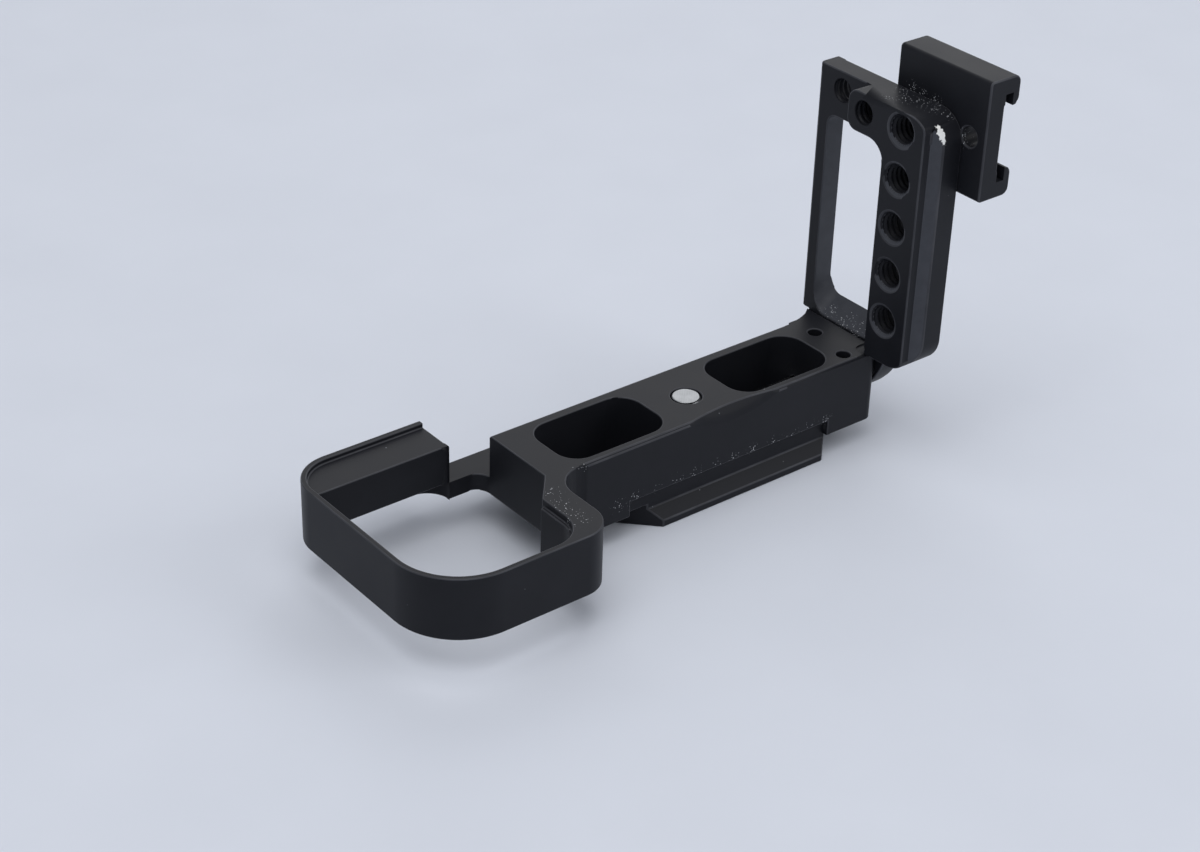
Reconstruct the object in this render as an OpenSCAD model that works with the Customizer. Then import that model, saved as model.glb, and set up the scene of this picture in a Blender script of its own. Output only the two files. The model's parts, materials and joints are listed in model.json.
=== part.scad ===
// Camera L-bracket: a base bar with an open grip loop, and an upright side plate
// that slides out on two guide rods and carries a cold shoe.
// Millimetres. The origin is on the camera screw's axis, on the seat that the camera rests on.
// +X runs along the bar to the side plate, +Y to the back of the camera, +Z up.

/* [Base bar] */
// Camera screw axis to the bar's end at the grip loop
bar_left = 41.2; // [39:0.1:46]
// Camera screw axis to the bar's end at the side plate
bar_right = 45.2; // [42:0.1:50]
// Camera screw axis to the bar's front face
bar_front = 8.9; // [8.6:0.1:11]
// Camera screw axis to the bar's back face
bar_back = 10.75; // [10:0.05:13]
// Height of the bar from its underside to the seat
bar_h = 16.4; // [15:0.1:19]
// Chamfer along the seat's edges
seat_chamfer = 0.5; // [0.3:0.1:1.2]
// Radius of the bar's upright corner beside the side plate
bar_corner_r = 2.2; // [1:0.1:3]
// Radius of the sweep from the bar's back face out to the side plate
flare_r = 13; // [10:0.5:20]
// Length of that sweep along the bar
flare_len = 7.7; // [4:0.1:9]

/* [Pockets] */
// Length of each lightening pocket
pocket_len = 25.2; // [18:0.1:26]
// Width of each pocket
pocket_w = 15.3; // [12:0.1:15.6]
// Depth of each pocket below the seat
pocket_depth = 12.4; // [12.2:0.1:12.6]
// Corner radius of the pockets
pocket_r = 5; // [3:0.1:7]
// Solid web on each side of the camera screw's axis
pocket_web = 9.3; // [8:0.1:10]
// Offset of the pockets' middle line towards the back
pocket_shift = 0.7; // [0:0.1:1]

/* [Lens relief] */
// Radius of the lens barrel that the front edge clears
relief_r = 30.8; // [26:0.1:40]
// Depth of the relief on the front face
relief_drop = 3; // [1:0.1:4]
// How far the relief reaches back over the seat
relief_back = 1.6; // [0.8:0.1:1.7]
// Offset of the lens axis from the camera screw, along the bar
relief_x = 5.5; // [-5:0.1:8]

/* [Grip loop] */
// Camera screw axis to the loop's far end
loop_left = 80.6; // [76:0.1:90]
// Camera screw axis to the loop's front
loop_front = 28.7; // [26:0.1:34]
// Height of the loop's wall
loop_h = 13.4; // [12:0.1:14.4]
// Thickness of the loop's wall
loop_wall = 1.2; // [1:0.1:2.5]
// Outer radius of the big front corner
loop_big_r = 14.5; // [10:0.5:18]
// Camera screw axis to the arm's outer face
arm_right = 40.4; // [39.5:0.1:42]
// Outer radius of the front corner beside the bar
loop_small_r = 6.5; // [4:0.5:8]
// Outer radius of the back corner
loop_back_r = 9; // [6:0.5:11]
// Width of the arm that joins the loop to the bar
arm_w = 6.1; // [4:0.1:8]
// Camera screw axis to where the arm turns towards the bar
arm_turn = 13.5; // [12:0.1:16]
// Radius of the hollow between the arm and the bar's front face
hollow_r = 6.5; // [5:0.1:7]
// Radius of the inner corner between the loop and the arm
arm_corner_r = 7; // [3:0.5:8]
// Width of the narrow ledge along the arm's inner side
arm_ledge = 0.8; // [0.5:0.1:1.5]
// Drop from the arm's top to that ledge
arm_ledge_drop = 1.5; // [0.8:0.1:2.5]

/* [Rear ledge] */
// Camera screw axis to the loop's back face
ledge_back = 23.3; // [21:0.1:26]
// Depth of the ledge that the camera's grip rests on
ledge_w = 9.7; // [8:0.1:11]
// Step from the loop's rim down to the ledge
ledge_drop = 1; // [0.5:0.1:1.5]
// Thickness of the wall that carries the ledge
ledge_wall = 4.6; // [3:0.1:6]
// Width of the notch between the ledge and the bar
notch_w = 7.8; // [5:0.1:10]
// Height from the seat down to the notch's floor and the step behind the bar
step_z = 9.6; // [8:0.1:10.5]
// Width of the step behind the bar
step_w = 9; // [7:0.1:12]
// Distance from the bar's end at the side plate to the step's end
step_in = 12; // [9:0.5:20]
// Radius of the finger opening's corner at the notch
notch_r = 5.5; // [3:0.5:7]
// Radius of the fillet between the notch's strap and the bar
strap_r = 3; // [1:0.5:4]

/* [Bottom rail] */
// Width of the dovetail across its lips
rail_w = 38; // [36:0.1:40]
// Length of the dovetail along the bar
rail_len = 65; // [50:0.5:66]
// Bevel of the rail's corners, seen from below
rail_bevel = 11; // [6:0.5:14]
// Middle of the rail along the bar, from the camera screw
rail_x = 8.5; // [4:0.1:9]
// How far the lip stands in front of the bar's front face
rail_proud = 1; // [0.5:0.1:2]
// Height of the lip's upright face
lip_h = 1.6; // [1.4:0.1:2]
// Rise of the 45 degree flank above the lip
flank_h = 2.4; // [2:0.1:2.5]
// Height of the plain neck between the flank and the bar
neck_h = 1; // [0.6:0.1:2]
// How much shorter the neck's root in the bar is than the lip's straight edge
neck_trim = 4; // [2:0.5:6]
// Height of the clamp's groove cut up into the bar
groove_up = 3.5; // [2:0.1:3.6]
// Length of the groove beyond each end of the front lip
groove_over = 5; // [2:0.5:8]
// Offset of the groove towards the grip loop
groove_shift = 3; // [0:0.5:4]

/* [Camera screw] */
// Outer diameter of the camera thread
thread_d = 6.35; // [6:0.01:6.5]
// Chamfer at the tip of the camera screw
tip_chamfer = 0.4; // [0.2:0.05:0.6]
// Clearance around the screw in its hole
screw_gap = 0.08; // [0.04:0.01:0.1]
// Diameter of the screw's head
head_d = 11.6; // [10:0.1:12]
// Thickness of the screw's head
head_h = 3; // [2.5:0.1:4]
// How far the screw rises to enter a camera
screw_rise = 4.8; // [4:0.1:5.2]
// Thickness of the washer on the head
washer_t = 0.5; // [0.4:0.05:0.8]
// Clearance around the head in its well
well_gap = 0.4; // [0.2:0.05:0.5]
// Thickness of the snap ring that holds the head in the well
ring_t = 0.8; // [0.6:0.05:1]
// Width of the snap ring
ring_w = 1.7; // [1.5:0.1:2]
// Depth of the snap ring's groove in the well's wall
ring_groove = 0.5; // [0.3:0.05:0.7]
// Opening of the snap ring
ring_open = 4; // [3:0.5:6]
// Distance from the rail's underside to the snap ring
ring_in = 0.4; // [0.3:0.1:0.6]
// Size of the hex sockets in the camera screw and the shoe bolt
key_large = 4; // [3:0.5:5]
// Depth of those sockets
key_large_deep = 1.8; // [1.4:0.1:2]

/* [Guide rods] */
// Diameter of the guide rods
rod_d = 3; // [2.8:0.1:3.1]
// Offset of the front rod from the camera screw's axis
rod_front_y = 6; // [5.2:0.1:6.2]
// Offset of the rear rod from the camera screw's axis
rod_rear_y = 4.5; // [3:0.1:6]
// Depth of the front rod below the seat
rod_front_z = 6; // [5.6:0.1:6.4]
// Depth of the rear rod below the seat
rod_rear_z = 10.6; // [9:0.1:10.6]
// Travel of the side plate
slide_len = 10; // [6:0.5:11]
// Running clearance around each rod
rod_gap = 0.04; // [0.02:0.01:0.08]
// Length of each rod left inside the bore's mouth at full travel
rod_over = 1.5; // [1:0.1:3]
// Depth of the flat that a lock screw bears on
rod_flat = 0.5; // [0.3:0.1:0.7]
// How far each rod is let into the side plate
rod_seat = 3; // [2:0.1:3.2]
// Diameter of the lock screws
lock_d = 3; // [2.6:0.1:3.2]
// Length of the lock screws
lock_len = 3.5; // [3:0.1:4]
// Distance from the bar's end to the front lock screw
lock_front_in = 7.5; // [6.5:0.1:8]
// Distance from the bar's end to the rear lock screw
lock_rear_in = 5.9; // [5:0.1:8]
// Size of the hex sockets in the lock screws and the rod bolts
key_small = 1.3; // [1:0.1:1.5]
// Depth of those sockets
key_small_deep = 0.9; // [0.7:0.1:1.2]
// Diameter of the bolts that hold the rods
rod_bolt_d = 2; // [1.8:0.1:2.1]
// Head diameter of those bolts
rod_bolt_head = 3.8; // [3.4:0.1:4]
// Length of those bolts
rod_bolt_len = 6; // [4.5:0.5:7]

/* [Side plate] */
// Seam between the bar's end and the side plate when closed
seam = 0.25; // [0.1:0.05:0.5]
// Height of the side plate above the seat
plate_top = 56.3; // [55.5:0.1:62]
// Thickness of the side plate's frame
plate_t = 4.75; // [4.6:0.05:6]
// Camera screw axis to the front lip of the side rail
plate_front = 21; // [20:0.1:24]
// Width across the side rail's lips
side_rail_w = 36.9; // [36:0.1:40]
// Thickness of the side rail's front lip
side_lip_t = 5.1; // [4.8:0.1:5.4]
// Depth of the side rail's front 45 degree flank
side_flank = 1.9; // [1.6:0.1:2.2]
// Depth of its rear flank
rear_flank = 0.95; // [0.5:0.05:1.5]
// Radius of the side plate's two front corners
side_corner_r = 6.3; // [4:0.1:7]
// How far the threaded block stands in from the frame
block_t = 4.25; // [3:0.05:5]
// Width of the threaded column
column_w = 10.75; // [10.5:0.05:12]
// Length of the block's rear arm
block_arm = 10.75; // [10:0.05:12]
// Height of the block's rear arm
block_arm_h = 8.7; // [8.4:0.1:10]
// Height of the block's underside above the seat
block_lift = 0; // [0:0.1:1]
// Radius of the fillet at the block's lower back corner
block_foot_r = 3; // [2:0.1:3.5]
// Depth of the relief in the seat under that fillet, and its margin around it
block_relief = 0.3; // [0.2:0.05:0.5]
// Radius of the fillet between the column and the rear arm
arm_r = 4.5; // [3:0.1:5]
// Width of the frame's rear post
post_w = 2.9; // [2.5:0.1:3.5]
// Height of the frame's top bar
top_bar = 10.3; // [9:0.1:12]
// Height of the window's sill above the seat
sill_z = 4; // [3:0.1:6]
// Fall of the sill from its outer edge to its inner edge
sill_fall = 3.5; // [1:0.1:3.6]
// Radius of the window's lower corners
window_r = 4; // [3:0.5:6]
// Radius at the two ends of the sloping sill
sill_r = 3.5; // [2.5:0.1:3.5]
// Depth of the foot that covers the bar's end, below the seat
foot_drop = 15.2; // [14:0.1:16]
// Camera screw axis to the foot's front edge
foot_front = 11.2; // [10.6:0.1:16]
// Radius of the foot's front sweep
foot_r = 18; // [14:0.5:19]
// Height above the seat to which the foot runs up inside the frame
foot_top = 8; // [6:0.5:10]

/* [Threaded holes] */
// Tapped diameter of the quarter inch holes
tap_d = 5.2; // [5:0.05:5.6]
// Diameter of the countersink at the mouths of those in the column
tap_mouth = 7.2; // [6.6:0.1:7.6]
// Depth of the small chamfer where they leave the plate's outer face
tap_back_sink = 0.3; // [0.2:0.1:0.6]
// Distance from hole to hole
hole_pitch = 10.6; // [10.2:0.1:10.8]
// Distance from the column's front face to its row of holes
hole_in = 6.3; // [5.8:0.1:6.5]
// Distance from the side plate's top to the top holes
hole_drop = 4.1; // [4:0.1:5]
// Number of holes up the column
hole_count = 5; // [4:1:5]

/* [Cold shoe] */
// Length of the shoe along its channel
shoe_len = 25; // [22:0.1:28]
// Height of the shoe across its channel
shoe_w = 25.6; // [22.6:0.1:26]
// Thickness of the shoe's floor
shoe_floor = 4.4; // [3.8:0.1:5]
// Width of the accessory slot
slot_w = 18.7; // [18.5:0.05:18.9]
// Height of the accessory slot
slot_h = 2.1; // [2:0.05:2.3]
// Gap between the two lips
slot_mouth = 13.4; // [12.5:0.1:13.5]
// Thickness of the lips
shoe_lip = 1.8; // [1.5:0.1:2.2]
// Radius along the shoe's outer edges
shoe_edge_r = 1.7; // [0.8:0.1:1.8]
// Radius along the lips' edges at the mouth
mouth_r = 1.5; // [0.5:0.1:1.6]
// Offset of the shoe's middle in front of its bolt
shoe_shift = 1.6; // [0:0.1:3]
// Gap between the shoe and the side plate
shoe_gap = 0.05; // [0.02:0.01:0.1]
// Diameter of the bolt's head
bolt_head_d = 10.5; // [9:0.1:11]
// Thickness of the bolt's head
bolt_head_h = 2.2; // [1.8:0.1:2.4]
// Depth of the bolt's end below the column's inner face
bolt_end_in = 5; // [1.2:0.1:6]
// Diameter of the small tapped hole in the floor
pin_hole_d = 4.2; // [2.5:0.1:4.4]
// Distance from the shoe's middle to that hole
pin_hole_off = 8.1; // [7.8:0.1:9]

/* [Hidden] */
$fn = 64;

// Overshoot that carries a cut past a face or a joint into a wall
cut = 1;
// Play left where one piece rests on or sits in another
play = 0.02;
// Clearance around a screw in its tapped hole
tap_gap = 0.05;

// Grip loop and its arm
arm_in = arm_right + arm_w;
hollow_x = arm_right - hollow_r;
hollow_y = bar_front + 0.95 * hollow_r;
ledge_front = ledge_back - ledge_w;
notch_left = bar_left + notch_w;
step_back = bar_back + step_w;
step_right = bar_right - step_in;

// End of the bar's sweep at the side plate
flare_back = bar_back + flare_r - sqrt(flare_r * flare_r - flare_len * flare_len);

// Bottom rail
rail_front = bar_front + rail_proud;
rail_back = rail_w - rail_front;
rail_left = rail_x - rail_len / 2;
rail_right = rail_x + rail_len / 2;
neck_front = rail_front - flank_h;
neck_back = rail_back - flank_h;
lip_top = bar_h + neck_h + flank_h;
rail_low = lip_top + lip_h;

// Camera screw, from the snap ring upwards
well_d = head_d + 2 * well_gap;
hole_d = thread_d + 2 * screw_gap;
ring_low = rail_low - ring_in;
ring_top = ring_low - ring_t;
head_low = ring_top - play;
head_top = head_low - head_h;
washer_low = head_top - play;
washer_top = washer_low - washer_t;
well_top = washer_top - screw_rise - play;

// Side plate
frame_in = bar_right + seam;
frame_out = frame_in + plate_t;
block_in = frame_in - block_t;
lip_in = frame_out - side_lip_t;
side_back = side_rail_w - plate_front;
block_front = plate_front - side_flank;
column_back = block_front - column_w;
arm_back = block_arm - column_back;
window_back = side_back - rear_flank - post_w;
window_top = plate_top - top_bar;
hole_y = -block_front + hole_in;
hole_z = plate_top - hole_drop;
sill_angle = atan(sill_fall / plate_t);

// Guide rods and their lock screws
bore_d = rod_d + 2 * rod_gap;
pocket_right = pocket_web + pocket_len;
rod_left = pocket_right - slide_len - rod_over;
rod_right = frame_in + rod_seat;
lock_hole_d = lock_d + 2 * tap_gap;
rod_bolt_hole = rod_bolt_d + 2 * tap_gap;
rod_bolt_cone = (rod_bolt_head - rod_bolt_d) / 2;

// Cold shoe
shoe_in = frame_out + shoe_gap;
shoe_t = shoe_floor + slot_h + shoe_lip;
shoe_y = hole_y - shoe_shift;
bolt_d = tap_d - 2 * tap_gap;

// Piece between a corner and the arc that rounds it; sx and sy point from the corner to the arc
// Taken away it rounds an outside corner, and added it fills an inside one
module corner_piece(x, y, sx, sy, r) {
  translate([x + sx * r, y + sy * r])
    difference() {
      translate([sx > 0 ? -r - cut : 0, sy > 0 ? -r - cut : 0])
        square(r + cut);
      circle(r);
    }
}

// Box from (x0, y0) to (x1, y1) with its own radius at each corner, anticlockwise from (x0, y0)
module soft_box(x0, y0, x1, y1, ra, rb, rc, rd) {
  difference() {
    translate([x0, y0])
      square([x1 - x0, y1 - y0]);
    corner_piece(x0, y0, 1, 1, ra);
    corner_piece(x1, y0, -1, 1, rb);
    corner_piece(x1, y1, -1, -1, rc);
    corner_piece(x0, y1, 1, -1, rd);
  }
}

// Flat shape raised between two heights
module raised(z0, z1) {
  translate([0, 0, z0])
    linear_extrude(z1 - z0)
      children();
}

// Flat shape drawn in Y and Z, carried along X between two stations
module along_x(x0, x1) {
  translate([x0, 0, 0])
    rotate([90, 0, 90])
      linear_extrude(x1 - x0)
        children();
}

// Flat shape drawn in X and Z, carried along Y between two stations
module along_y(y0, y1) {
  translate([0, y1, 0])
    rotate([90, 0, 0])
      linear_extrude(y1 - y0)
        children();
}

// Round bar along X from one station to another
module rod_x(x0, x1, y, z, d) {
  translate([x0, y, z])
    rotate([0, 90, 0])
      cylinder(h = x1 - x0, d = d);
}

// Bar with its end bevel towards the loop and the sweep towards the side plate
module bar() {
  intersection() {
    raised(-bar_h, 0)
      union() {
        difference() {
          translate([-bar_left, -bar_front])
            square([bar_left + bar_right, bar_front + bar_back]);
          corner_piece(bar_right, -bar_front, -1, 1, bar_corner_r);
        }
        translate([bar_right - flare_len, bar_back])
          difference() {
            translate([0, -cut])
              square([flare_len, flare_r]);
            translate([0, flare_r])
              circle(flare_r);
          }
      }
    along_y(-bar_front - cut, flare_back + cut)
      difference() {
        polygon([[-bar_left, cut], [bar_right, cut], [bar_right, -bar_h],
                 [bar_h - loop_h - bar_left, -bar_h], [-bar_left, -loop_h]]);
        corner_piece(bar_right, -bar_h, -1, 1, 1.5);
      }
  }
}

// Step behind the bar, and the strap that runs on from it under the notch
module rear_step() {
  along_y(bar_back - cut, step_back)
    polygon([[-bar_left, -step_z], [step_right, -step_z], [step_right, -bar_h],
             [bar_h - loop_h - bar_left, -bar_h], [-bar_left, -loop_h]]);
  raised(-loop_h, -step_z)
    union() {
      polygon([[-notch_left, ledge_front], [cut - bar_left, ledge_front],
               [cut - bar_left, step_back], [-notch_left - cut, step_back],
               [-notch_left - cut, ledge_back - ledge_wall],
               [-notch_left, ledge_back - ledge_wall]]);
      corner_piece(-bar_left, ledge_front, -1, -1, strap_r);
    }
}

// Loop seen from above, drawn in from its outer face by a margin and ending at its right side
module loop_shape(margin, right, right_r) {
  soft_box(margin - loop_left, margin - loop_front, -right, ledge_back - margin,
           loop_big_r - margin, right_r, 1, loop_back_r - margin);
}

// Outline of the loop, cut off where the notch and the arm begin
module loop_outline() {
  difference() {
    loop_shape(0, arm_right, loop_small_r);
    translate([-notch_left, -hollow_y])
      square([notch_left, hollow_y + ledge_back + cut]);
  }
}

// Finger opening below the ledge
module loop_opening() {
  difference() {
    loop_shape(loop_wall, arm_in, arm_corner_r);
    translate([-loop_left, ledge_back - ledge_wall])
      square([loop_left, ledge_wall]);
    corner_piece(-notch_left, ledge_back - ledge_wall, -1, -1, notch_r);
  }
}

// Thicker foot of the arm's inner side, which leaves a narrow ledge and runs out along the front wall
module arm_ledge_shape() {
  difference() {
    translate([-arm_in - arm_corner_r - cut, loop_wall / 2 - loop_front])
      square([arm_corner_r + 2 * cut, loop_front - arm_turn - loop_wall]);
    loop_shape(loop_wall + arm_ledge / 3, arm_in + arm_ledge, arm_corner_r - arm_ledge);
  }
}

// Wall of the loop with the ledge at its back
module grip_loop() {
  difference() {
    union() {
      raised(-loop_h, 0)
        difference() {
          loop_outline();
          loop_opening();
        }
      raised(-loop_h, -arm_ledge_drop)
        arm_ledge_shape();
      raised(-step_z, -ledge_drop / 2)
        intersection() {
          loop_outline();
          translate([-loop_left - cut, ledge_front])
            square([loop_left + cut, ledge_w + cut]);
        }
    }
    raised(-ledge_drop, cut)
      intersection() {
        loop_shape(loop_wall, notch_left - 2 * cut, 1);
        translate([-loop_left, ledge_front - cut])
          square([loop_left, ledge_w + cut]);
      }
  }
}

// Arm between the loop and the bar, drawn from above
module loop_arm() {
  raised(-loop_h, 0)
    polygon([[-arm_in, -hollow_y - cut], [-arm_in, -arm_turn], [-bar_left, -bar_front + 1.6],
             [-hollow_x, -bar_front + 1.6], [-hollow_x, -hollow_y],
             [-arm_right, -hollow_y], [-arm_right, -hollow_y - cut]]);
}

// Dovetail under the bar: its section along X, trimmed to its plan
module bottom_rail() {
  intersection() {
    along_x(rail_left, rail_right)
      polygon([[-rail_front, -rail_low], [rail_back, -rail_low], [rail_back, -lip_top],
               [neck_back, -bar_h - neck_h], [neck_back, -bar_h],
               [neck_back - flank_h, cut - bar_h], [cut - neck_front, cut - bar_h],
               [-neck_front, -bar_h], [-neck_front, -bar_h - neck_h], [-rail_front, -lip_top]]);
    union() {
      raised(-rail_low - cut, -bar_h)
        polygon([[rail_left + rail_bevel, -rail_front], [rail_right - rail_bevel, -rail_front],
                 [rail_right, rail_bevel - rail_front], [rail_right, rail_back - rail_bevel],
                 [rail_right - rail_bevel, rail_back], [rail_left + rail_bevel, rail_back],
                 [rail_left, rail_back - rail_bevel], [rail_left, rail_bevel - rail_front]]);
      raised(-bar_h - cut, cut - bar_h)
        translate([rail_left + rail_bevel, -neck_front])
          square([rail_len - 2 * rail_bevel - neck_trim, bar_back + neck_front - cut]);
    }
  }
}

// Hole for one guide rod, and the tapped hole of its lock screw above it
module rod_cut(y, z, in) {
  rod_x(rod_left - cut, bar_right + cut, y, -z, bore_d);
  translate([bar_right - in, y, rod_d / 4 - z])
    cylinder(h = z + cut, d = lock_hole_d);
}

// Base bar, grip loop and bottom rail, milled from one block of aluminium
module base_plate() {
  color("#2b2d30")
  difference() {
    union() {
      bar();
      rear_step();
      grip_loop();
      loop_arm();
      bottom_rail();
    }
    // Hollow between the arm and the bar
    translate([-hollow_x, -hollow_y, -bar_h - cut])
      cylinder(h = bar_h + 2 * cut, r = hollow_r);
    // Pockets on both sides of the screw
    for (side = [-1, 1])
      raised(-pocket_depth, cut)
        soft_box(side * (pocket_web + pocket_len / 2) - pocket_len / 2, pocket_shift - pocket_w / 2,
                 side * (pocket_web + pocket_len / 2) + pocket_len / 2, pocket_shift + pocket_w / 2,
                 pocket_r, pocket_r, pocket_r, pocket_r);
    // Relief under the foot of the side plate's block, so that the seat ends clear of it
    raised(-block_relief, cut)
      soft_box(block_in - block_relief, -bar_front - 2 * cut, bar_right + 2 * cut,
               block_foot_r + block_relief - column_back, 0.5, 0.5, 0.5, bar_corner_r);
    // Relief for the lens barrel
    translate([relief_x, -bar_front - cut, relief_r - relief_drop])
      rotate([-90, 0, 0])
        cylinder(h = relief_back + cut, r1 = relief_r + cut * relief_drop / relief_back,
                 r2 = relief_r - relief_drop, $fn = 128);
    // Chamfers along the front and back edges of the seat
    along_x(-hollow_x, bar_right + cut)
      polygon([[-bar_front - cut, -seat_chamfer - cut], [seat_chamfer + cut - bar_front, cut],
               [-bar_front - cut, cut]]);
    along_x(-bar_left - cut, bar_right - flare_len)
      polygon([[bar_back + cut, -seat_chamfer - cut], [bar_back + cut, cut],
               [bar_back - seat_chamfer - cut, cut]]);
    // Groove for the clamp's jaw above the front lip
    raised(-bar_h - neck_h, groove_up - bar_h)
      translate([rail_left + rail_bevel - groove_over - groove_shift, -bar_front - cut])
        square([rail_len - 2 * rail_bevel + 2 * groove_over, bar_front + cut - neck_front]);
    // Screw hole and the well for its head
    translate([0, 0, -bar_h])
      cylinder(h = bar_h + cut, d = hole_d);
    translate([0, 0, -rail_low - cut])
      cylinder(h = rail_low + cut - well_top, d = well_d);
    translate([0, 0, -ring_low - play])
      cylinder(h = ring_t + 2 * play, d = well_d + 2 * ring_groove);
    // Guide rod bores and lock screw holes
    rod_cut(-rod_front_y, rod_front_z, lock_front_in);
    rod_cut(rod_rear_y, rod_rear_z, lock_rear_in);
  }
}

// Camera screw: threaded shank, round head with a hex socket
module camera_screw() {
  color("#b9bbbd")
  difference() {
    union() {
      translate([0, 0, -head_low])
        cylinder(h = head_h, d = head_d);
      translate([0, 0, -head_top - cut])
        cylinder(h = head_top + cut - tip_chamfer, d = thread_d);
      translate([0, 0, -tip_chamfer])
        cylinder(h = tip_chamfer, d1 = thread_d, d2 = thread_d - 2 * tip_chamfer);
    }
    translate([0, 0, -head_low - cut])
      cylinder(h = cut + key_large_deep, d = key_large / cos(30), $fn = 6);
  }
}

// Thin steel washer on the screw's head
module screw_washer() {
  color("#8d9092")
  translate([0, 0, -washer_low])
    difference() {
      cylinder(h = washer_t, d = head_d);
      translate([0, 0, -cut])
        cylinder(h = washer_t + 2 * cut, d = hole_d);
    }
}

// Snap ring that keeps the head in the well
module snap_ring() {
  ring_r = well_d / 2 + ring_groove - play;
  color("#55585b")
  raised(-ring_low, -ring_top)
    difference() {
      circle(ring_r);
      circle(ring_r - ring_w);
      translate([-ring_open / 2, -ring_r - cut])
        square([ring_open, ring_w + 2 * cut]);
    }
}

// Headless lock screw that bears on a rod's flat
module lock_screw(y, z, in) {
  tip = z - rod_d / 2 + rod_flat - tap_gap;
  color("#3a3c3f")
  translate([bar_right - in, y, -tip])
    difference() {
      cylinder(h = lock_len, d = lock_d);
      translate([0, 0, lock_len - key_small_deep])
        cylinder(h = key_small_deep + cut, d = key_small / cos(30), $fn = 6);
    }
}

module lock_screw_front() {
  lock_screw(-rod_front_y, rod_front_z, lock_front_in);
}

module lock_screw_rear() {
  lock_screw(rod_rear_y, rod_rear_z, lock_rear_in);
}

// Frame of the side plate in Y and Z: the rail above, the foot below
module frame_outline() {
  soft_box(-plate_front, block_lift, side_back, plate_top, side_corner_r, 1.5, 1, side_corner_r);
  soft_box(-foot_front, -foot_drop, flare_back, foot_top, foot_r, 3, 1, 1);
}

// Threaded block in Y and Z: the column with its rear arm at the top
module block_outline() {
  arm_low = plate_top - block_arm_h;
  soft_box(-plate_front, block_lift, -column_back, plate_top, side_corner_r, 0.5, 0.5, side_corner_r);
  soft_box(-column_back - cut, arm_low, arm_back, plate_top, 0.5, 2.5, 2.5, 0.5);
  corner_piece(-column_back, arm_low, 1, -1, arm_r);
  corner_piece(-column_back, block_lift, 1, 1, block_foot_r);
}

// Tapped hole with a countersunk mouth on the inner face and a small chamfer on the outer face
module tapped_hole(y, z, inner) {
  sink = (tap_mouth - tap_d) / 2;
  rod_x(inner - cut, frame_out + cut, y, z, tap_d);
  translate([inner, y, z])
    rotate([0, 90, 0]) {
      translate([0, 0, -cut])
        cylinder(h = cut + sink, d1 = tap_mouth + 2 * cut, d2 = tap_d);
      translate([0, 0, frame_out - inner - tap_back_sink])
        cylinder(h = cut + tap_back_sink, d1 = tap_d, d2 = tap_d + 2 * (tap_back_sink + cut));
    }
}

// Seat of one guide rod in the foot, with the countersunk hole of its bolt
module rod_socket(y, z) {
  rod_x(frame_in - cut, rod_right + play, y, -z, rod_d + 2 * play);
  rod_x(frame_in, frame_out + cut, y, -z, rod_bolt_hole);
  translate([frame_out - rod_bolt_cone - play, y, -z])
    rotate([0, 90, 0])
      cylinder(h = rod_bolt_cone + cut + play, d1 = rod_bolt_hole,
               d2 = rod_bolt_hole + 2 * (rod_bolt_cone + cut + play));
}

// Side plate: frame with a dovetail on both long edges, threaded block and foot
module side_plate() {
  color("#2b2d30")
  difference() {
    union() {
      along_x(frame_in, frame_out)
        frame_outline();
      intersection() {
        along_x(block_in, frame_in)
          block_outline();
        raised(block_lift, plate_top + cut)
          polygon([[block_in - cut, arm_back + cut], [block_in - cut, -block_front],
                   [lip_in - side_flank, -block_front], [lip_in + cut, -plate_front - cut],
                   [frame_in + 2 * cut, -plate_front - cut], [frame_in + 2 * cut, arm_back + cut]]);
      }
    }
    // Rear flank of the dovetail
    raised(-foot_drop - cut, plate_top + cut)
      polygon([[frame_in - cut, side_back - rear_flank - cut],
               [frame_in + rear_flank + cut, side_back + cut], [frame_in - cut, side_back + cut]]);
    // Window, and its sill falling towards the camera
    along_x(frame_in - cut, frame_out + cut)
      soft_box(-column_back, sill_z, window_back, window_top, window_r, window_r, 2.5, 0.5);
    translate([frame_in, 0, sill_z - sill_fall])
      rotate([0, -sill_angle, 0])
        along_x(-plate_t, 2 * plate_t)
          soft_box(-column_back, 0, window_back, (window_top - sill_z) / 2, sill_r, sill_r, 1, 1);
    // Countersunk tapped holes up the column, and plain ones in the arm and in the frame's corner
    for (i = [0 : hole_count - 1])
      tapped_hole(hole_y, hole_z - i * hole_pitch, block_in);
    rod_x(block_in - cut, frame_out + cut, hole_y + hole_pitch, hole_z, tap_d);
    rod_x(frame_in - cut, frame_out + cut, hole_y + 2 * hole_pitch, hole_z, tap_d);
    // Guide rod seats
    rod_socket(-rod_front_y, rod_front_z);
    rod_socket(rod_rear_y, rod_rear_z);
  }
}

// Steel guide rod, with the long flat that the lock screw runs in
module guide_rod(y, z, in) {
  lock_x = bar_right - in;
  flat_end = lock_d / 2 + 0.2;
  color("#9b9ea1")
  difference() {
    rod_x(rod_left, rod_right, y, -z, rod_d);
    translate([lock_x - slide_len - flat_end, y - rod_d, rod_d / 2 - rod_flat - z])
      cube([slide_len + 2 * flat_end, 2 * rod_d, rod_d]);
    rod_x(frame_out - rod_bolt_len - 0.5, rod_right + cut, y, -z, rod_bolt_hole);
  }
}

module guide_rod_front() {
  guide_rod(-rod_front_y, rod_front_z, lock_front_in);
}

module guide_rod_rear() {
  guide_rod(rod_rear_y, rod_rear_z, lock_rear_in);
}

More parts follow.
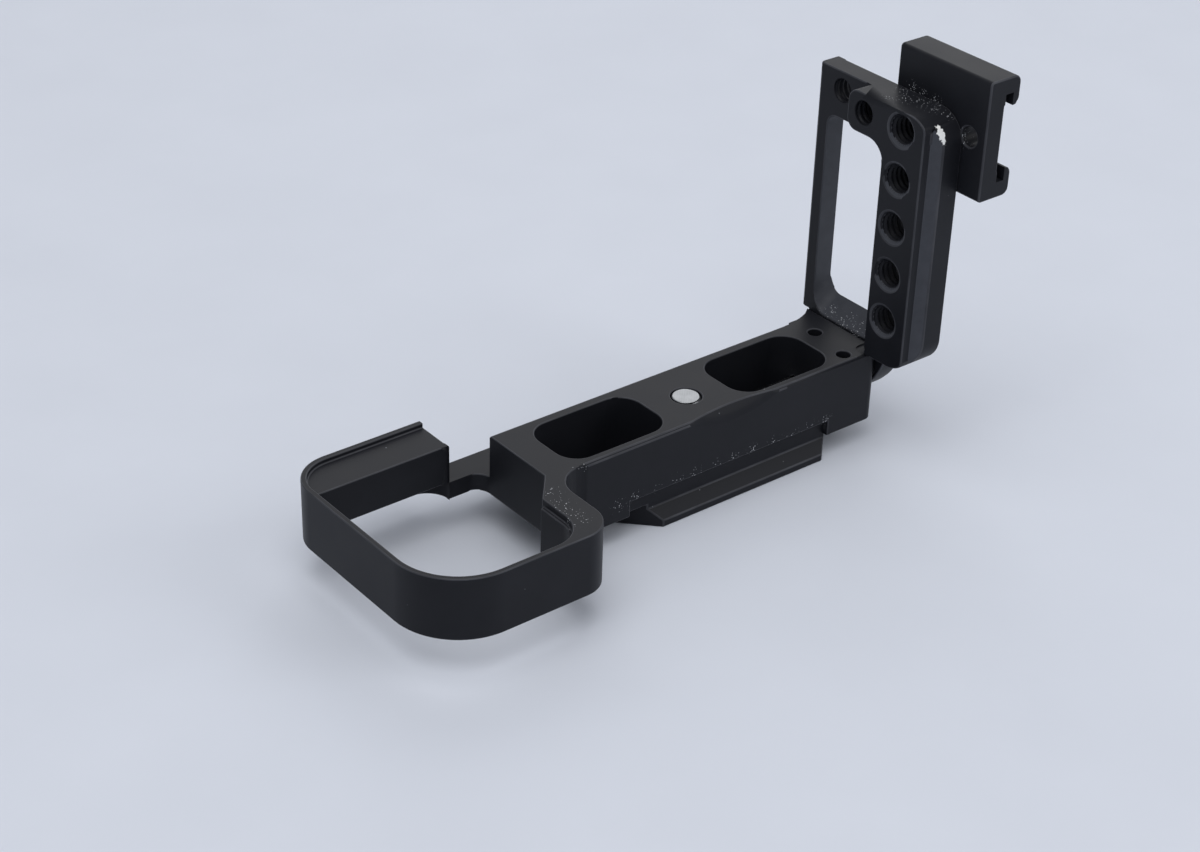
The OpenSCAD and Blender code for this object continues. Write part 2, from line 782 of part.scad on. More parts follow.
// Countersunk bolt that holds a rod to the side plate
module rod_bolt(y, z) {
  color("#3a3c3f")
  translate([frame_out - rod_bolt_len, y, -z])
    rotate([0, 90, 0])
      difference() {
        union() {
          cylinder(h = rod_bolt_len, d = rod_bolt_d);
          translate([0, 0, rod_bolt_len - rod_bolt_cone])
            cylinder(h = rod_bolt_cone, d1 = rod_bolt_d, d2 = rod_bolt_head);
        }
        translate([0, 0, rod_bolt_len - key_small_deep])
          cylinder(h = key_small_deep + cut, d = key_small / cos(30), $fn = 6);
      }
}

module rod_bolt_front() {
  rod_bolt(-rod_front_y, rod_front_z);
}

module rod_bolt_rear() {
  rod_bolt(rod_rear_y, rod_rear_z);
}

// Cold shoe: a short channel that takes an accessory foot
module cold_shoe() {
  low = hole_z - shoe_w / 2;
  high = hole_z + shoe_w / 2;
  floor_x = shoe_in + shoe_floor;
  color("#2b2d30")
  difference() {
    along_y(shoe_y - shoe_len / 2, shoe_y + shoe_len / 2)
      difference() {
        soft_box(shoe_in, low, shoe_in + shoe_t, high, 0.8, shoe_edge_r, shoe_edge_r, 0.8);
        translate([floor_x, hole_z - slot_w / 2])
          square([slot_h, slot_w]);
        translate([floor_x, hole_z - slot_mouth / 2])
          square([slot_h + shoe_lip + cut, slot_mouth]);
        for (side = [-1, 1])
          corner_piece(shoe_in + shoe_t, hole_z + side * slot_mouth / 2, -1, side, mouth_r);
      }
    // Bolt hole with the recess for its head
    rod_x(shoe_in - cut, floor_x + cut, hole_y, hole_z, hole_d);
    rod_x(floor_x - bolt_head_h - play, floor_x + cut, hole_y, hole_z, bolt_head_d + 2 * well_gap);
    // Small tapped hole for a stop pin
    rod_x(shoe_in - cut, floor_x + cut, shoe_y - pin_hole_off, hole_z, pin_hole_d);
  }
}

// Bolt that holds the shoe to the top hole of the column
module shoe_bolt() {
  head_x = shoe_in + shoe_floor - bolt_head_h;
  color("#3a3c3f")
  difference() {
    union() {
      rod_x(block_in + bolt_end_in, head_x + 0.5, hole_y, hole_z, bolt_d);
      rod_x(shoe_in, head_x + 0.5, hole_y, hole_z, thread_d);
      rod_x(head_x, shoe_in + shoe_floor, hole_y, hole_z, bolt_head_d);
    }
    translate([shoe_in + shoe_floor - key_large_deep, hole_y, hole_z])
      rotate([0, 90, 0])
        cylinder(h = key_large_deep + cut, d = key_large / cos(30), $fn = 6);
  }
}

base_plate();
camera_screw();
screw_washer();
snap_ring();
lock_screw_front();
lock_screw_rear();
side_plate();
guide_rod_front();
guide_rod_rear();
rod_bolt_front();
rod_bolt_rear();
cold_shoe();
shoe_bolt();
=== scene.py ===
import json
import math
import bmesh
import bpy
from mathutils import Matrix, Vector
from mathutils.geometry import intersect_point_line

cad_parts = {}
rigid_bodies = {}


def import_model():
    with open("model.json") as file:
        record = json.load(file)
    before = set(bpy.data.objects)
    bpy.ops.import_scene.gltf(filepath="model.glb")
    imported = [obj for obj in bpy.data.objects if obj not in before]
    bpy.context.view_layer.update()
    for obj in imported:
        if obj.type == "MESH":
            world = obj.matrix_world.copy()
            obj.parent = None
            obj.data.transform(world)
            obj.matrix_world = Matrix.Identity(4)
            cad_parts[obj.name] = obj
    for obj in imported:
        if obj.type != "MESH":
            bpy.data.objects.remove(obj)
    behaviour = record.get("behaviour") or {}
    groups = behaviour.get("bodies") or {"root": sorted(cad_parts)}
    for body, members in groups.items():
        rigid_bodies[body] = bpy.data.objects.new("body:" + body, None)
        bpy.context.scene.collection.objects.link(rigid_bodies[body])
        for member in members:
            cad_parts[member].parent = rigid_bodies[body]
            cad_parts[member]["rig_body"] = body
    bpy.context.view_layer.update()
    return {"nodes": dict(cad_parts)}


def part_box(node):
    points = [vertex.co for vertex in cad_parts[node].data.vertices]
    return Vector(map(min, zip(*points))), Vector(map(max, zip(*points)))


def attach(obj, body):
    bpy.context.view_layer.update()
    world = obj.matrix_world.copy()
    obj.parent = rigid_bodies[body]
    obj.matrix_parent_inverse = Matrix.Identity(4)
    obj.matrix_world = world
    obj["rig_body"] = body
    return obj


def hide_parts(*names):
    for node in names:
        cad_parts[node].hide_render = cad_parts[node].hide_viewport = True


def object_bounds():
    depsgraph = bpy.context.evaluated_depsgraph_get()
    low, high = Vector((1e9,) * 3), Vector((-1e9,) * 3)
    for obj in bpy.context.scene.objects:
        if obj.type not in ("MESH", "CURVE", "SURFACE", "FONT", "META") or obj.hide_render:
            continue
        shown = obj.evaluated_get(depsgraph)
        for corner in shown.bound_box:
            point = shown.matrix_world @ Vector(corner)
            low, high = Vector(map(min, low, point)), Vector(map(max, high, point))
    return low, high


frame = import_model()


# Base plate
# The bar, the grip loop and the bottom rail are one piece, milled from a block of aluminium.
# It is blasted with fine beads and anodised black, and its edges are broken by a small rounding.
MM = 0.001
BASE_EDGE = 0.24 * MM


def linear(colour):
    """An sRGB hex colour as the linear colour that the shaders mix."""
    parts = [int(colour[i:i + 2], 16) / 255 for i in (1, 3, 5)]
    return [p / 12.92 if p <= 0.04045 else ((p + 0.055) / 1.055) ** 2.4 for p in parts] + [1.0]


def add(tree, kind, inputs=None, **settings):
    """A new node with its settings, and its inputs set to values or linked to other nodes' sockets."""
    node = tree.nodes.new("ShaderNode" + kind)
    for name, value in settings.items():
        setattr(node, name, value)
    for name, value in (inputs or {}).items():
        if isinstance(value, bpy.types.NodeSocket):
            tree.links.new(value, node.inputs[name])
        else:
            node.inputs[name].default_value = value
    return node


def black_anodise(name, scuffs, chips=()):
    """Black anodised aluminium over a bead-blasted face: a satin near-black that takes a soft grey sheen.
    Scuffs are (place in mm, reach in mm) where handling has dulled it to grey specks, chips bare metal.
    Marked faces are drawn greyer in faint streaks, which on the side plate's dovetail flank and window wall
    is painted light."""
    grit = 0.28 * MM
    cloud = 9 * MM
    dust_gap = 3.4 * MM
    speck = 0.34 * MM
    finish = bpy.data.materials.new(name)
    finish.use_nodes = True
    tree = finish.node_tree
    shader = tree.nodes["Principled BSDF"]
    place = add(tree, "TexCoord").outputs["Object"]
    # The blasted grain is about 0.1 mm across, and is drawn coarser so that it shows
    grain = add(tree, "TexNoise", {"Vector": place, "Scale": 1 / grit, "Detail": 2.0}).outputs["Fac"]
    mottle = add(tree, "TexNoise", {"Vector": place, "Scale": 1 / cloud, "Detail": 4.0}).outputs["Fac"]
    tone = add(tree, "Mix", {0: mottle, 6: linear("#191a1e"), 7: linear("#232429")}, data_type="RGBA")
    # Broken edges are drawn lighter all along in a faint grey line, partly worn anodising and partly a
    # painted highlight
    rim = add(tree, "Attribute", attribute_name="edge_break").outputs["Fac"]
    thin = add(tree, "Math", {0: rim, 1: mottle}, operation="MULTIPLY").outputs[0]
    edged = add(tree, "Mix", {0: thin, 6: tone.outputs[2], 7: linear("#55565b")}, data_type="RGBA")
    # Marked faces are drawn greyer in faint streaks: painted light on the dovetail's front flank and the
    # window's rear wall
    flank = add(tree, "Attribute", attribute_name="wear_and_painted_light").outputs["Fac"]
    streaks = add(tree, "TexNoise", {"Vector": place, "Scale": 1 / (2.5 * MM), "Detail": 3.0}).outputs["Fac"]
    painted_light_amount = add(tree, "MapRange", {"Value": streaks, "To Min": 0.6, "To Max": 1.0}).outputs[0]
    painted_light_amount = add(tree, "Math", {0: painted_light_amount, 1: flank}, operation="MULTIPLY").outputs[0]
    edged = add(tree, "Mix", {0: painted_light_amount, 6: edged.outputs[2], 7: linear("#4b4d53")}, data_type="RGBA")
    # Scuffs are crowds of tiny bare specks, thickest in the middle of a patch
    wear_and_painted_light = add(tree, "Math", {0: rim, 1: 0.12}, operation="MULTIPLY").outputs[0]
    for spot, reach in scuffs:
        gap = add(tree, "VectorMath", {0: place, 1: Vector(spot) * MM}, operation="DISTANCE")
        near = add(tree, "MapRange", {"Value": gap.outputs["Value"], "From Min": reach * MM,
                                      "From Max": 0.0}, interpolation_type="SMOOTHSTEP")
        wear_and_painted_light = add(tree, "Math", {0: wear_and_painted_light, 1: near.outputs[0]}, operation="MAXIMUM").outputs[0]
    specks = add(tree, "TexVoronoi", {"Vector": place, "Scale": 1 / speck})
    luck = add(tree, "SeparateColor", {0: specks.outputs["Color"]}).outputs[0]
    luck = add(tree, "Math", {0: luck, 1: 1.8}, operation="POWER").outputs[0]
    size = add(tree, "Math", {0: luck, 1: wear_and_painted_light}, operation="MULTIPLY").outputs[0]
    inside = add(tree, "Math", {0: size, 1: -0.5, 2: specks.outputs["Distance"]}, operation="MULTIPLY_ADD")
    worn = add(tree, "MapRange", {"Value": inside.outputs[0], "From Min": 0.0, "From Max": -0.06}).outputs[0]
    scuffed = add(tree, "Mix", {0: worn, 6: edged.outputs[2], 7: linear("#b2b4b8")}, data_type="RGBA")
    # Dust lies in single motes, most of it on faces that look up
    cells = add(tree, "TexVoronoi", {"Vector": place, "Scale": 1 / dust_gap})
    mote = add(tree, "MapRange", {"Value": cells.outputs["Distance"], "From Min": 0.045, "From Max": 0.02})
    chosen = add(tree, "Math", {0: cells.outputs["Color"], 1: 0.55}, operation="GREATER_THAN").outputs[0]
    facing = add(tree, "SeparateXYZ", {0: add(tree, "NewGeometry").outputs["Normal"]}).outputs["Z"]
    lying = add(tree, "MapRange", {"Value": facing, "From Min": -0.2, "From Max": 0.9, "To Min": 0.1,
                                   "To Max": 0.7}).outputs[0]
    dust = add(tree, "Math", {0: mote.outputs[0], 1: chosen}, operation="MULTIPLY").outputs[0]
    dust = add(tree, "Math", {0: dust, 1: lying}, operation="MULTIPLY").outputs[0]
    dusty = add(tree, "Mix", {0: dust, 6: scuffed.outputs[2], 7: linear("#a9adb3")}, data_type="RGBA")
    colour = dusty.outputs[2]
    # A chip shows bright metal, with a ragged outline
    bare = None
    for spot, reach in chips:
        ragged = add(tree, "VectorMath", {0: add(tree, "TexNoise", {"Vector": place, "Scale": 1 / (1.2 * MM)})
                                          .outputs["Color"], 1: (0.5, 0.5, 0.5)}, operation="SUBTRACT")
        shifted = add(tree, "VectorMath", {0: ragged.outputs[0], 1: (2.4 * MM,) * 3, 2: place},
                      operation="MULTIPLY_ADD")
        gap = add(tree, "VectorMath", {0: shifted.outputs[0], 1: Vector(spot) * MM}, operation="DISTANCE")
        hole = add(tree, "MapRange", {"Value": gap.outputs["Value"], "From Min": reach * MM,
                                      "From Max": 0.8 * reach * MM}).outputs[0]
        bare = hole if bare is None else add(tree, "Math", {0: bare, 1: hole}, operation="MAXIMUM").outputs[0]
    if bare is not None:
        colour = add(tree, "Mix", {0: bare, 6: colour, 7: linear("#f2f2f0")}, data_type="RGBA").outputs[2]
    rough = add(tree, "MapRange", {"Value": mottle, "To Min": 0.36, "To Max": 0.5}).outputs[0]
    rough = add(tree, "Math", {0: worn, 1: 0.2, 2: rough}, operation="MULTIPLY_ADD").outputs[0]
    bump = add(tree, "Bump", {"Strength": 0.3, "Distance": 0.02 * MM, "Height": grain})
    tree.links.new(colour, shader.inputs["Base Color"])
    tree.links.new(rough, shader.inputs["Roughness"])
    tree.links.new(bump.outputs[0], shader.inputs["Normal"])
    shader.inputs["Specular IOR Level"].default_value = 0.14
    return finish


def bare_copy(node):
    """The node's mesh in a bmesh, with its corners joined and its flat faces whole again."""
    shape = bmesh.new()
    shape.from_mesh(frame["nodes"][node].data)
    bmesh.ops.remove_doubles(shape, verts=shape.verts, dist=0.002 * MM)
    bmesh.ops.dissolve_limit(shape, angle_limit=math.radians(0.5), verts=shape.verts, edges=shape.edges)
    return shape


def nearest(spot, edge):
    """The point of an edge that is nearest to a spot."""
    first, last = (v.co for v in edge.verts)
    return first.lerp(last, min(max(intersect_point_line(spot, first, last)[1], 0.0), 1.0))


def roomy(edge, sharp, width):
    """Whether the faces beside a sharp edge leave room for a rounding of that width."""
    ends = [v.co for v in edge.verts]
    along = (ends[1] - ends[0]).normalized()
    for other in {o for f in edge.link_faces for o in f.edges if o in sharp and o is not edge}:
        shared = set(other.verts) & set(edge.verts)
        if shared:
            corner = shared.pop()
            ways = [e.other_vert(corner).co - corner.co for e in (edge, other)]
            if ways[0].angle(ways[1]) < math.radians(40):
                return False
            continue
        for spot in (ends[0], (ends[0] + ends[1]) / 2, ends[1]):
            gap = nearest(spot, other) - spot
            if gap.length < 2.2 * width and abs(gap.dot(along)) < 0.75 * gap.length:
                return False
    return True


def marked(mesh, name, values):
    """Gives every face of a mesh a value that its finish reads."""
    mesh.attributes.new(name, "FLOAT", "FACE").data.foreach_set("value", values)


def broken_edges(name, shape, width):
    """A mesh of the shape with its sharp edges rounded, save where a rounding would run into another.
    The faces of the roundings are marked, so that the finish can draw them lighter there, as worn anodising
    and a painted highlight."""
    for edge in [e for e in shape.edges if e.calc_length() > 20 * width]:
        for end in edge.verts[:]:
            bmesh.utils.edge_split(edge, end, 7 * width / edge.calc_length())
    shape.edges.index_update()
    sharp = {e for e in shape.edges if e.is_manifold and e.calc_face_angle() > math.radians(30)}
    chosen = {e.index for e in sharp if roomy(e, sharp, width)}
    while True:
        trial = shape.copy()
        trial.edges.ensure_lookup_table()
        for face in trial.faces:
            face.material_index = 0
        bmesh.ops.bevel(trial, geom=[trial.edges[i] for i in chosen], offset=width, segments=3, profile=0.5,
                        affect="EDGES", material=1, loop_slide=True)
        mesh = bpy.data.meshes.new(name)
        trial.to_mesh(mesh)
        trial.free()
        mesh.calc_loop_triangles()
        crossed = [t for t in mesh.loop_triangles
                   if t.area > 0.001 * MM * MM and t.normal.dot(mesh.polygons[t.polygon_index].normal) < 0.5]
        spots = [mesh.vertices[i].co for t in crossed for i in t.vertices]
        shape.edges.ensure_lookup_table()
        kept = {i for i in chosen if all((nearest(p, shape.edges[i]) - p).length > 2 * width for p in spots)}
        if kept == chosen:
            break
        chosen = kept
    shape.free()
    mesh.materials.append(None)
    mesh.materials.append(None)
    marked(mesh, "edge_break", [float(face.material_index) for face in mesh.polygons])
    mesh.polygons.foreach_set("material_index", [0] * len(mesh.polygons))
    mesh.materials.clear()
    mesh.shade_smooth()
    mesh.set_sharp_from_angle(angle=math.radians(35))
    return mesh


def machined(name, node, body, finish, edge, shape=None, extra=None, wear_and_painted_light=None):
    """A piece that stands for a node: its shape with every edge broken, joined with any extra mesh.
    Whether a face is drawn greyer, in part as painted light, is asked of its middle and of the way that it
    looks."""
    mesh = broken_edges(name, shape or bare_copy(node), edge)
    if wear_and_painted_light:
        marked(mesh, "wear_and_painted_light", [float(wear_and_painted_light(face.center, face.normal)) for face in mesh.polygons])
    mesh.materials.append(finish)
    piece = bpy.data.objects.new(name, mesh)
    bpy.context.scene.collection.objects.link(piece)
    if extra:
        extra.data.materials.append(finish)
        with bpy.context.temp_override(active_object=piece, selected_editable_objects=[piece, extra]):
            bpy.ops.object.join()
    flats = piece.modifiers.new("flat faces", "WEIGHTED_NORMAL")
    flats.keep_sharp = True
    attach(piece, body)
    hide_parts(node)
    return piece


base_scuffs = [((-45.4, -22.4, 0), 5), ((-44.8, -18, 0), 5), ((-43.5, -13, 0), 4), ((-46.8, -15.6, 0), 2.5),
               ((-33.2, -9.4, -0.4), 3)]
base_scuffs += [((x, -8.9, -12.7), 3.5) for x in (-24, -20, -14, -9, -4, 1, 6, 11, 17, 22, 27, 31)]
base_anodise = black_anodise("bead-blasted black anodised aluminium, base plate", base_scuffs)
machined("base_plate_milled", "base_plate", "base", base_anodise, BASE_EDGE)


# Camera screw, its washer and its snap ring
# A turned steel screw with a quarter inch thread stands flush with the seat and rises into the camera.
# A thin washer lies on its head, and a spring steel ring in the well keeps it from dropping out.
THREAD_PITCH = 1.27 * MM
THREAD_CREST = 3.15 * MM
THREAD_ROOT = 2.62 * MM
TIP_ROUNDING = 0.45 * MM
HEAD_HEIGHT = 3 * MM
HEAD_OVERLAP = 0.3 * MM
HEAD_EDGE = 0.25 * MM
WASHER_EDGE = 0.08 * MM
RING_EDGE = 0.1 * MM


def ridge(turns):
    """Height of a thread's flank, from 0 in the groove to 1 on the crest, after that many turns."""
    share = turns % 1.0
    return min(max((1 - abs(2 * share - 1) - 0.2) / 0.6, 0.0), 1.0)


def tube(name, rings, closed):
    """A mesh object from rings of points, joined ring to ring and capped at both ends where closed."""
    count = len(rings[0])
    points = [p for ring in rings for p in ring]
    faces = []
    for k in range(len(rings) - 1):
        first, second = k * count, (k + 1) * count
        for i in range(count):
            j = (i + 1) % count
            faces.append((first + i, first + j, second + j, second + i))
    if closed:
        faces += [tuple(range(count))[::-1], tuple(range((len(rings) - 1) * count, len(rings) * count))]
    mesh = bpy.data.meshes.new(name)
    mesh.from_pydata(points, [], faces)
    mesh.shade_smooth()
    piece = bpy.data.objects.new(name, mesh)
    bpy.context.scene.collection.objects.link(piece)
    return piece


def plain_steel(name, dark, light, lines, angle, roughness):
    """Bare or blackened steel with fine crossed tool lines: a hard sheen, broken up where the lines cross."""
    finish = bpy.data.materials.new(name)
    finish.use_nodes = True
    tree = finish.node_tree
    shader = tree.nodes["Principled BSDF"]
    place = add(tree, "TexCoord").outputs["Object"]
    turned = add(tree, "Mapping", {"Vector": place, "Rotation": (0, 0, angle)}).outputs[0]
    ruled = [add(tree, "TexWave", {"Vector": turned, "Scale": math.tau / (20 * lines), "Distortion": 1.0},
                 bands_direction=way).outputs["Fac"] for way in "XY"]
    crossed = add(tree, "Math", {0: ruled[0], 1: ruled[1]}, operation="MULTIPLY").outputs[0]
    stain = add(tree, "TexNoise", {"Vector": place, "Scale": 1 / (2 * MM), "Detail": 3.0}).outputs["Fac"]
    shade = add(tree, "Math", {0: crossed, 1: stain}, operation="MAXIMUM").outputs[0]
    tone = add(tree, "Mix", {0: shade, 6: linear(dark), 7: linear(light)}, data_type="RGBA")
    rough = add(tree, "MapRange", {"Value": stain, "To Min": roughness - 0.05, "To Max": roughness + 0.1})
    bump = add(tree, "Bump", {"Strength": 0.5, "Distance": 0.03 * MM, "Height": crossed})
    tree.links.new(tone.outputs[2], shader.inputs["Base Color"])
    tree.links.new(rough.outputs[0], shader.inputs["Roughness"])
    tree.links.new(bump.outputs[0], shader.inputs["Normal"])
    shader.inputs["Metallic"].default_value = 1.0
    return finish


bright_steel = plain_steel("turned bright steel, cross-hatched tip", "#75777a", "#b4b6b8", 0.34 * MM,
                           math.radians(38), 0.3)
low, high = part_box("camera_screw")
head_top = low.z + HEAD_HEIGHT
steps = round((high.z - head_top) / (THREAD_PITCH / 12))
shank = []
for k in range(steps + 1):
    z = head_top + (high.z - head_top) * k / steps
    limit = THREAD_CREST - max(0.0, TIP_ROUNDING - (high.z - z))
    ring = []
    for i in range(48):
        turn = i / 48
        r = THREAD_ROOT + (THREAD_CREST - THREAD_ROOT) * ridge(z / THREAD_PITCH - turn)
        r = min(r, limit)
        ring.append((r * math.cos(math.tau * turn), r * math.sin(math.tau * turn), z))
    shank.append(ring)
shank = tube("camera_screw_shank", shank, closed=True)
head = bare_copy("camera_screw")
cut = bmesh.ops.bisect_plane(head, geom=head.verts[:] + head.edges[:] + head.faces[:], dist=0.001 * MM,
                             plane_co=(0, 0, head_top + HEAD_OVERLAP), plane_no=(0, 0, 1), clear_outer=True)
bmesh.ops.holes_fill(head, edges=[e for e in cut["geom_cut"] if isinstance(e, bmesh.types.BMEdge)])
machined("camera_screw_turned", "camera_screw", "screw", bright_steel, HEAD_EDGE, head, shank)
machined("screw_washer_stamped", "screw_washer", frame["nodes"]["screw_washer"]["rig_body"],
         bright_steel, WASHER_EDGE)
spring_steel = plain_steel("oil-blackened spring steel", "#35373a", "#55585c", 0.5 * MM, 0.0, 0.38)
machined("snap_ring_stamped", "snap_ring", frame["nodes"]["snap_ring"]["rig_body"],
         spring_steel, RING_EDGE)


# Lock screws
# Two short headless screws of black-oxide steel sit below the seat and bear on the guide rods.
# Each is driven by a hex key from above.
LOCK_EDGE = 0.1 * MM
black_steel = plain_steel("black oxide steel", "#1c1d1f", "#2b2c2f", 0.3 * MM, 0.0, 0.4)
for end in ("front", "rear"):
    machined(f"lock_screw_{end}_black", f"lock_screw_{end}", f"lock_{end}", black_steel,
             LOCK_EDGE)


# Side plate
# An upright frame with a dovetail edge and a thick threaded block, milled from one plate of aluminium.
# Its quarter inch holes are tapped through, countersunk up the column and plain along the top.
SIDE_EDGE = 0.3 * MM
TAP_WALL = 2.6 * MM
TAP_ROOT = 3.1 * MM
TAP_SINK = 1.0 * MM
TAP_BACK_SINK = 0.3 * MM
TOP_CREST = 2.3 * MM
COLUMN_HOLES_Y = -12.8 * MM
COLUMN_HOLES_Z = (52.2, 41.6, 31.0, 20.4, 9.8)
TOP_HOLES_Z = COLUMN_HOLES_Z[0] * MM
BLOCK_FRONT = -19.1 * MM
CORNER_BLEND = 1.2 * MM
low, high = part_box("side_plate")
block_in, frame_in, frame_out = low.x, 45.45 * MM, high.x
side_shape = bare_copy("side_plate")
# The block's front face runs into the two round corners of the plate, and is blended there
ridges = [e for e in side_shape.edges
          if e.calc_face_angle(0.0) > math.radians(30) and e.calc_length() > CORNER_BLEND
          and all(abs(v.co.y - BLOCK_FRONT) < 0.01 * MM for v in e.verts)
          and e.verts[0].co.z == e.verts[1].co.z]
bmesh.ops.bevel(side_shape, geom=ridges, offset=CORNER_BLEND, segments=4, profile=0.5, affect="EDGES")
bmesh.ops.remove_doubles(side_shape, verts=side_shape.verts, dist=0.01 * MM)


def tapped(shape, y, z, x0, x1, wall, root, crest, pitch, sink, back_sink):
    """Opens a round hole's inner end out to the thread's root in a shape, and gives the thread that lines it.
    The thread runs out into the plain wall at the hole's outer end."""
    gone = [f for f in shape.faces if all(
        abs(math.hypot(v.co.y - y, v.co.z - z) - wall) < 0.03 * MM for v in f.verts)]
    rims = {v for f in gone for v in f.verts}
    bmesh.ops.delete(shape, geom=gone, context="FACES_ONLY")
    start, stop = x0 + max(sink - (root - wall), 0.0), x1 - back_sink
    for v in rims:
        if v.co.x < (x0 + x1) / 2:
            v.co = Vector((start, y + (v.co.y - y) * root / wall, z + (v.co.z - z) * root / wall))
    steps = round((stop - start) / (pitch / 10))
    rings = []
    for k in range(steps + 1):
        x = start + (stop - start) * k / steps
        begun = min((x - start) / (0.5 * pitch), 1.0)
        left = min((stop - x) / (0.5 * pitch), 1.0)
        ring = []
        for i in range(40):
            turn = i / 40
            deep = root - (root - crest) * ridge(x / pitch - turn) * begun
            r = wall + (deep - wall) * left
            ring.append((x, y + r * math.cos(math.tau * turn), z + r * math.sin(math.tau * turn)))
        rings.append(ring)
    return tube("thread", rings[::-1], closed=False)


threads = [tapped(side_shape, COLUMN_HOLES_Y, z * MM, block_in, frame_out, TAP_WALL, TAP_ROOT, TAP_WALL,
                  THREAD_PITCH, TAP_SINK, TAP_BACK_SINK) for z in COLUMN_HOLES_Z]
threads += [tapped(side_shape, y * MM, TOP_HOLES_Z, x0, frame_out, TAP_WALL, TAP_WALL, TOP_CREST,
                   THREAD_PITCH, 0.0, 0.0) for y, x0 in ((-2.2, block_in), (8.4, frame_in))]
with bpy.context.temp_override(active_object=threads[0], selected_editable_objects=threads):
    bpy.ops.object.join()
# Handling has worn the top by the shoe and the window's sill, and has chipped the upper front corner
side_scuffs = [((44.5, -6, 56.3), 3), ((48.5, -5.5, 56.3), 4), ((46.5, -9, 56.3), 5), ((48, -12, 56.3), 5.5),
               ((48, -15.5, 56.3), 5), ((49, -18, 55.4), 3)]
side_scuffs += [((46, -1.5, 0.8), 5), ((46.5, 3, 1.2), 5), ((46.5, 8, 1.5), 4)]
side_chips = [((44.9, -19.2, 54.4), 0.8), ((45, -19.8, 53.6), 0.95), ((45.1, -20.3, 52.8), 0.95),
              ((45.3, -20.8, 51.7), 0.8)]
side_anodise = black_anodise("bead-blasted black anodised aluminium, side plate", side_scuffs, side_chips)


def side_painted_light_faces(spot, way):
    """The faces that are drawn greyer. The dovetail's front flank below its corner and the window's rear wall
    are painted light; the window's sill and the upper part of the countersinks on the side that a screw lies
    on are greyer too."""
    flank = way.x < -0.6 and way.y < -0.6 and spot.x > 42.9 * MM and spot.z < 50 * MM
    wall = way.y < -0.6 and spot.y > 10 * MM
    sill = way.x < -0.3 and way.z > 0.5 and spot.x > frame_in and spot.z < 5 * MM
    mouth = spot.x < block_in + 1.1 * MM and abs(spot.y - COLUMN_HOLES_Y) < 3.7 * MM
    sink = mouth and -0.9 < way.x < -0.5 and way.z > 0.3
    return flank or wall or sill or sink


machined("side_plate_milled", "side_plate", "side", side_anodise, SIDE_EDGE, side_shape,
         threads[0], side_painted_light_faces)


# Guide rods and their bolts
# Two ground steel rods are let into the side plate's foot and slide in the base plate.
# A small countersunk bolt of black-oxide steel holds each from outside.
ROD_EDGE = 0.15 * MM
ROD_BOLT_EDGE = 0.08 * MM
ground_steel = plain_steel("ground steel", "#8e9093", "#b4b6b8", 0.2 * MM, 0.0, 0.22)
for end in ("front", "rear"):
    machined(f"guide_rod_{end}_ground", f"guide_rod_{end}", "side", ground_steel, ROD_EDGE)
    machined(f"rod_bolt_{end}_black", f"rod_bolt_{end}", "side", black_steel, ROD_BOLT_EDGE)


# Cold shoe and its bolt
# A short channel of aluminium with two lips takes an accessory's foot, anodised as the base is.
# One black-oxide bolt holds it to the top hole of the column, and it turns on that bolt.
SHOE_EDGE = 0.35 * MM
SHOE_BOLT_EDGE = 0.2 * MM
shoe_scuffs = [((50.25, -6, 57), 3), ((50.25, -9, 56.6), 3), ((50.25, -13, 56.2), 3), ((51, -21, 51.2), 4)]
shoe_anodise = black_anodise("bead-blasted black anodised aluminium, cold shoe", shoe_scuffs)
machined("cold_shoe_milled", "cold_shoe", "shoe", shoe_anodise, SHOE_EDGE)
machined("shoe_bolt_black", "shoe_bolt", frame["nodes"]["shoe_bolt"]["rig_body"], black_steel,
         SHOE_BOLT_EDGE)


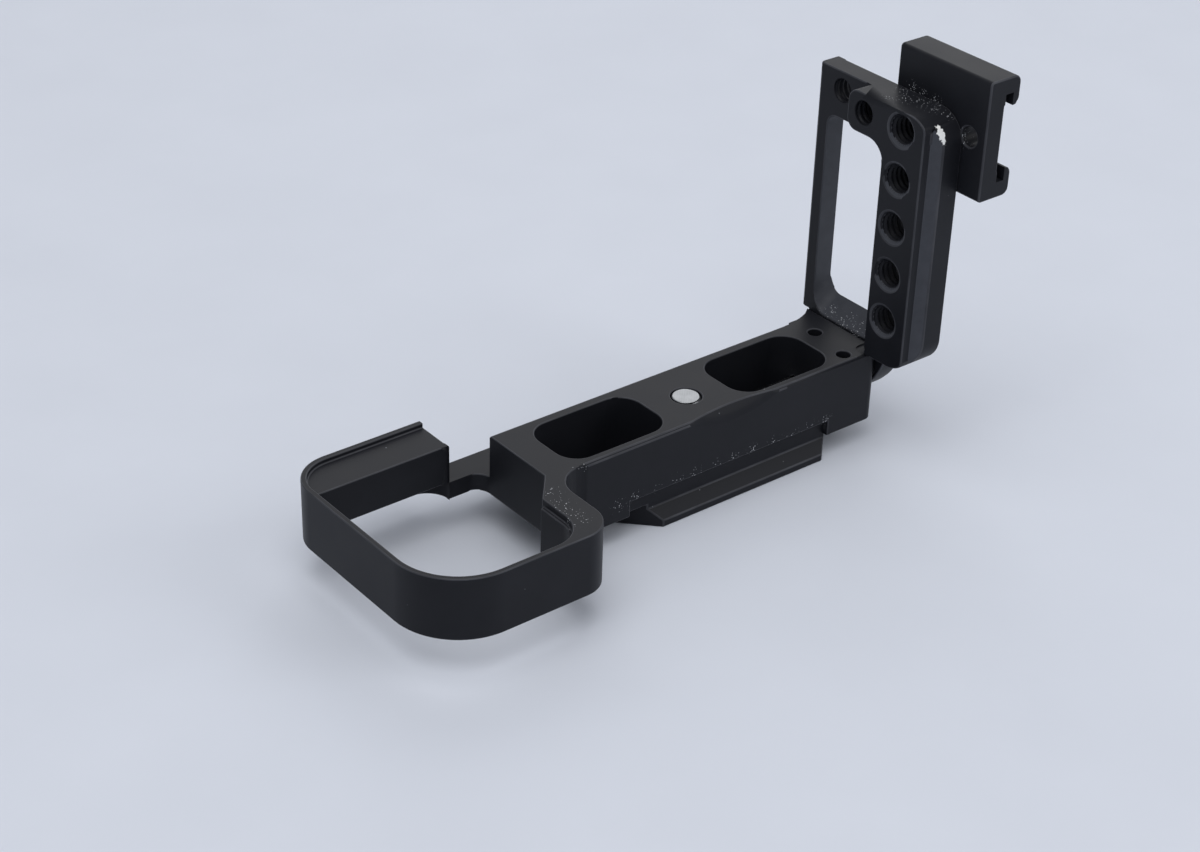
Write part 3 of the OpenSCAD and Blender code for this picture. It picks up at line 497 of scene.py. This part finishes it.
# Floor, light and camera
# The bracket stands on its bottom rail on a plain pale floor, in a pale room.
# Three wide soft lamps light it, and the camera stands where the photograph was taken from.
FLOOR_REACH = 6
floor_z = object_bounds()[0].z
floor_mesh = bpy.data.meshes.new("floor")
corners = [(x * FLOOR_REACH, y * FLOOR_REACH, floor_z) for x, y in ((-1, -1), (1, -1), (1, 1), (-1, 1))]
floor_mesh.from_pydata(corners, [], [(0, 1, 2, 3)])
floor = bpy.data.objects.new("floor", floor_mesh)
bpy.context.scene.collection.objects.link(floor)
paper = bpy.data.materials.new("matt pale paper")
paper.use_nodes = True
fibre = add(paper.node_tree, "TexNoise", {"Scale": 1 / (30 * MM), "Detail": 5.0,
                                          "Vector": add(paper.node_tree, "TexCoord").outputs["Object"]})
pale = add(paper.node_tree, "Mix", {0: fibre.outputs["Fac"], 6: linear("#d3d7e0"), 7: linear("#d9dde6")},
           data_type="RGBA")
sheet = paper.node_tree.nodes["Principled BSDF"]
paper.node_tree.links.new(pale.outputs[2], sheet.inputs["Base Color"])
sheet.inputs["Roughness"].default_value = 0.9
sheet.inputs["Specular IOR Level"].default_value = 0.1
floor_mesh.materials.append(paper)

room = bpy.data.worlds.new("pale room")
room.use_nodes = True
bpy.context.scene.world = room
room.node_tree.nodes["Background"].inputs["Color"].default_value = linear("#e4e8f0")
room.node_tree.nodes["Background"].inputs["Strength"].default_value = 0.45

for name, place, size, power in (("overhead soft box", (-0.2, -0.15, 1.1), 1.0, 6.5),
                                 ("back soft box", (0.75, 0.95, 0.75), 1.2, 5.0),
                                 ("side soft box", (0.9, -1.05, 0.75), 1.0, 5.5)):
    lamp = bpy.data.lights.new(name, "AREA")
    lamp.size = size
    lamp.energy = power
    holder = bpy.data.objects.new(name, lamp)
    holder.location = place
    holder.rotation_euler = (Vector((0, 0, 0)) - Vector(place)).to_track_quat("-Z", "Y").to_euler()
    bpy.context.scene.collection.objects.link(holder)

view = bpy.data.cameras.new("camera")
view.sensor_fit = "HORIZONTAL"
view.sensor_width = 36
view.lens = 72.25
eye = bpy.data.objects.new("camera", view)
eye_place = (-0.2774, -0.3146, 0.2452)
right, up, back = (0.786, -0.6177, 0.0258), (0.302, 0.4201, 0.8558), (-0.5395, -0.6648, 0.5167)
eye.matrix_world = Matrix.Translation(eye_place) @ Matrix((right, up, back)).transposed().to_4x4()
bpy.context.scene.collection.objects.link(eye)
bpy.context.scene.camera = eye

bpy.context.scene.view_settings.view_transform = "Standard"
